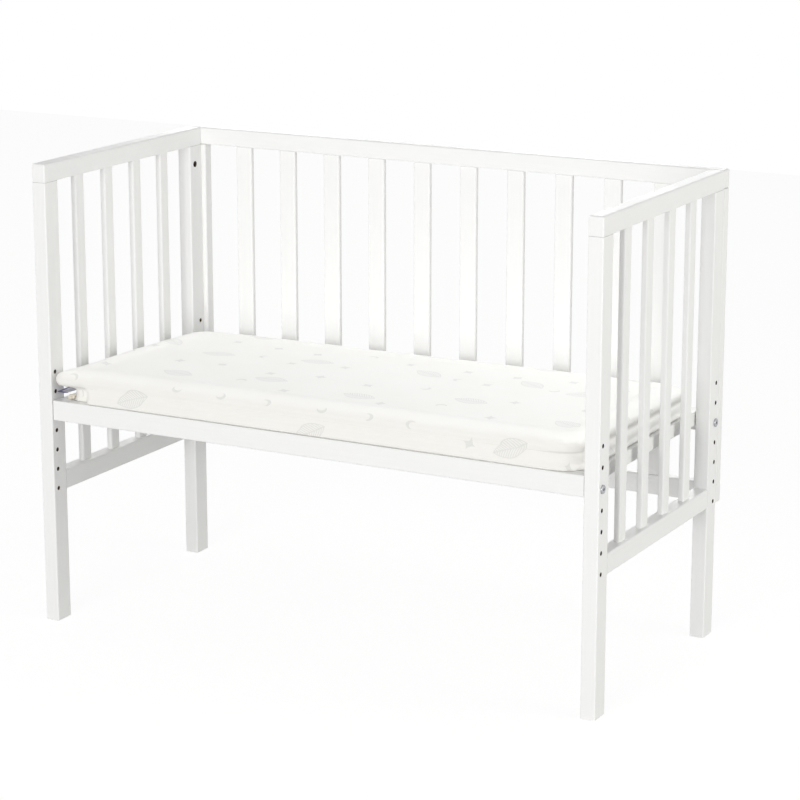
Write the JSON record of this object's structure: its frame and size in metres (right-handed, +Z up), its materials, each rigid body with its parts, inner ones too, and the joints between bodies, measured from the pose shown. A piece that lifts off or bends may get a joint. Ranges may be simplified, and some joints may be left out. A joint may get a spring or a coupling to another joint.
{
  "type": "bedside sleeper crib",
  "caption": "Bedside sleeper crib with slatted end and back panels, an open front, and a slatted base and mattress that bolt on at several heights.",
  "frame": {"origin": "middle of the floor area that the whole crib covers, back panel and bolt heads included", "axes": "+X along the length, to the right for someone at the open front; +Y from the open front to the back panel; +Z up"},
  "size_m": [0.9802, 0.4746, 0.746],
  "materials": {
    "white_wood": "satin white paint on solid wood",
    "bare_wood": "bare beech, glued",
    "steel": "zinc-plated, bright",
    "cover_fabric": "quilted knit with a small grey woven pattern",
    "foam": "open-cell foam",
    "label_fabric": "woven ribbon",
    "slider_tape": "beige moulded plastic"
  },
  "bodies": {
    "frame": {"left_front_leg": "white_wood", "left_rear_leg": "white_wood", "left_top_rail": "white_wood", "left_bottom_rail": "white_wood", "left_slat_1": "white_wood", "left_slat_2": "white_wood", "left_slat_3": "white_wood", "left_slat_4": "white_wood", "right_front_leg": "white_wood", "right_rear_leg": "white_wood", "right_top_rail": "white_wood", "right_bottom_rail": "white_wood", "right_slat_1": "white_wood", "right_slat_2": "white_wood", "right_slat_3": "white_wood", "right_slat_4": "white_wood", "back_top_rail": "white_wood", "back_bottom_rail": "white_wood", "back_left_stile": "white_wood", "back_right_stile": "white_wood", "back_slat_1": "white_wood", "back_slat_2": "white_wood", "back_slat_3": "white_wood", "back_slat_4": "white_wood", "back_slat_5": "white_wood", "back_slat_6": "white_wood", "back_slat_7": "white_wood", "back_slat_8": "white_wood", "back_slat_9": "white_wood", "back_slat_10": "white_wood", "end_panel_dowels": "bare_wood", "back_panel_dowels": "bare_wood", "back_panel_bolts": "steel", "back_panel_barrel_nuts": "steel"},
    "base": {"base_front_rail": "white_wood", "base_back_rail": "white_wood", "base_left_end_rail": "white_wood", "base_right_end_rail": "white_wood", "base_front_ledger": "white_wood", "base_back_ledger": "white_wood", "base_slat_1": "white_wood", "base_slat_2": "white_wood", "base_slat_3": "white_wood", "base_slat_4": "white_wood", "base_slat_5": "white_wood", "base_slat_6": "white_wood", "base_slat_7": "white_wood", "base_slat_8": "white_wood", "base_slat_9": "white_wood", "base_bolts": "steel", "base_barrel_nuts": "steel", "base_dowels": "bare_wood"},
    "mattress": {"mattress_cover": "cover_fabric", "mattress_core": "foam", "mattress_label": "label_fabric", "zip_slider": "slider_tape"}
  },
  "joints": [
    {"name": "base_height", "type": "slide", "parent": "frame", "child": "base", "axis": [0, 0, 1], "range_m": [-0.128, 0.064]},
    {"name": "mattress_lift", "type": "slide", "parent": "base", "child": "mattress", "axis": [0, 0, 1], "range_m": [0, 0.4]}
  ]
}
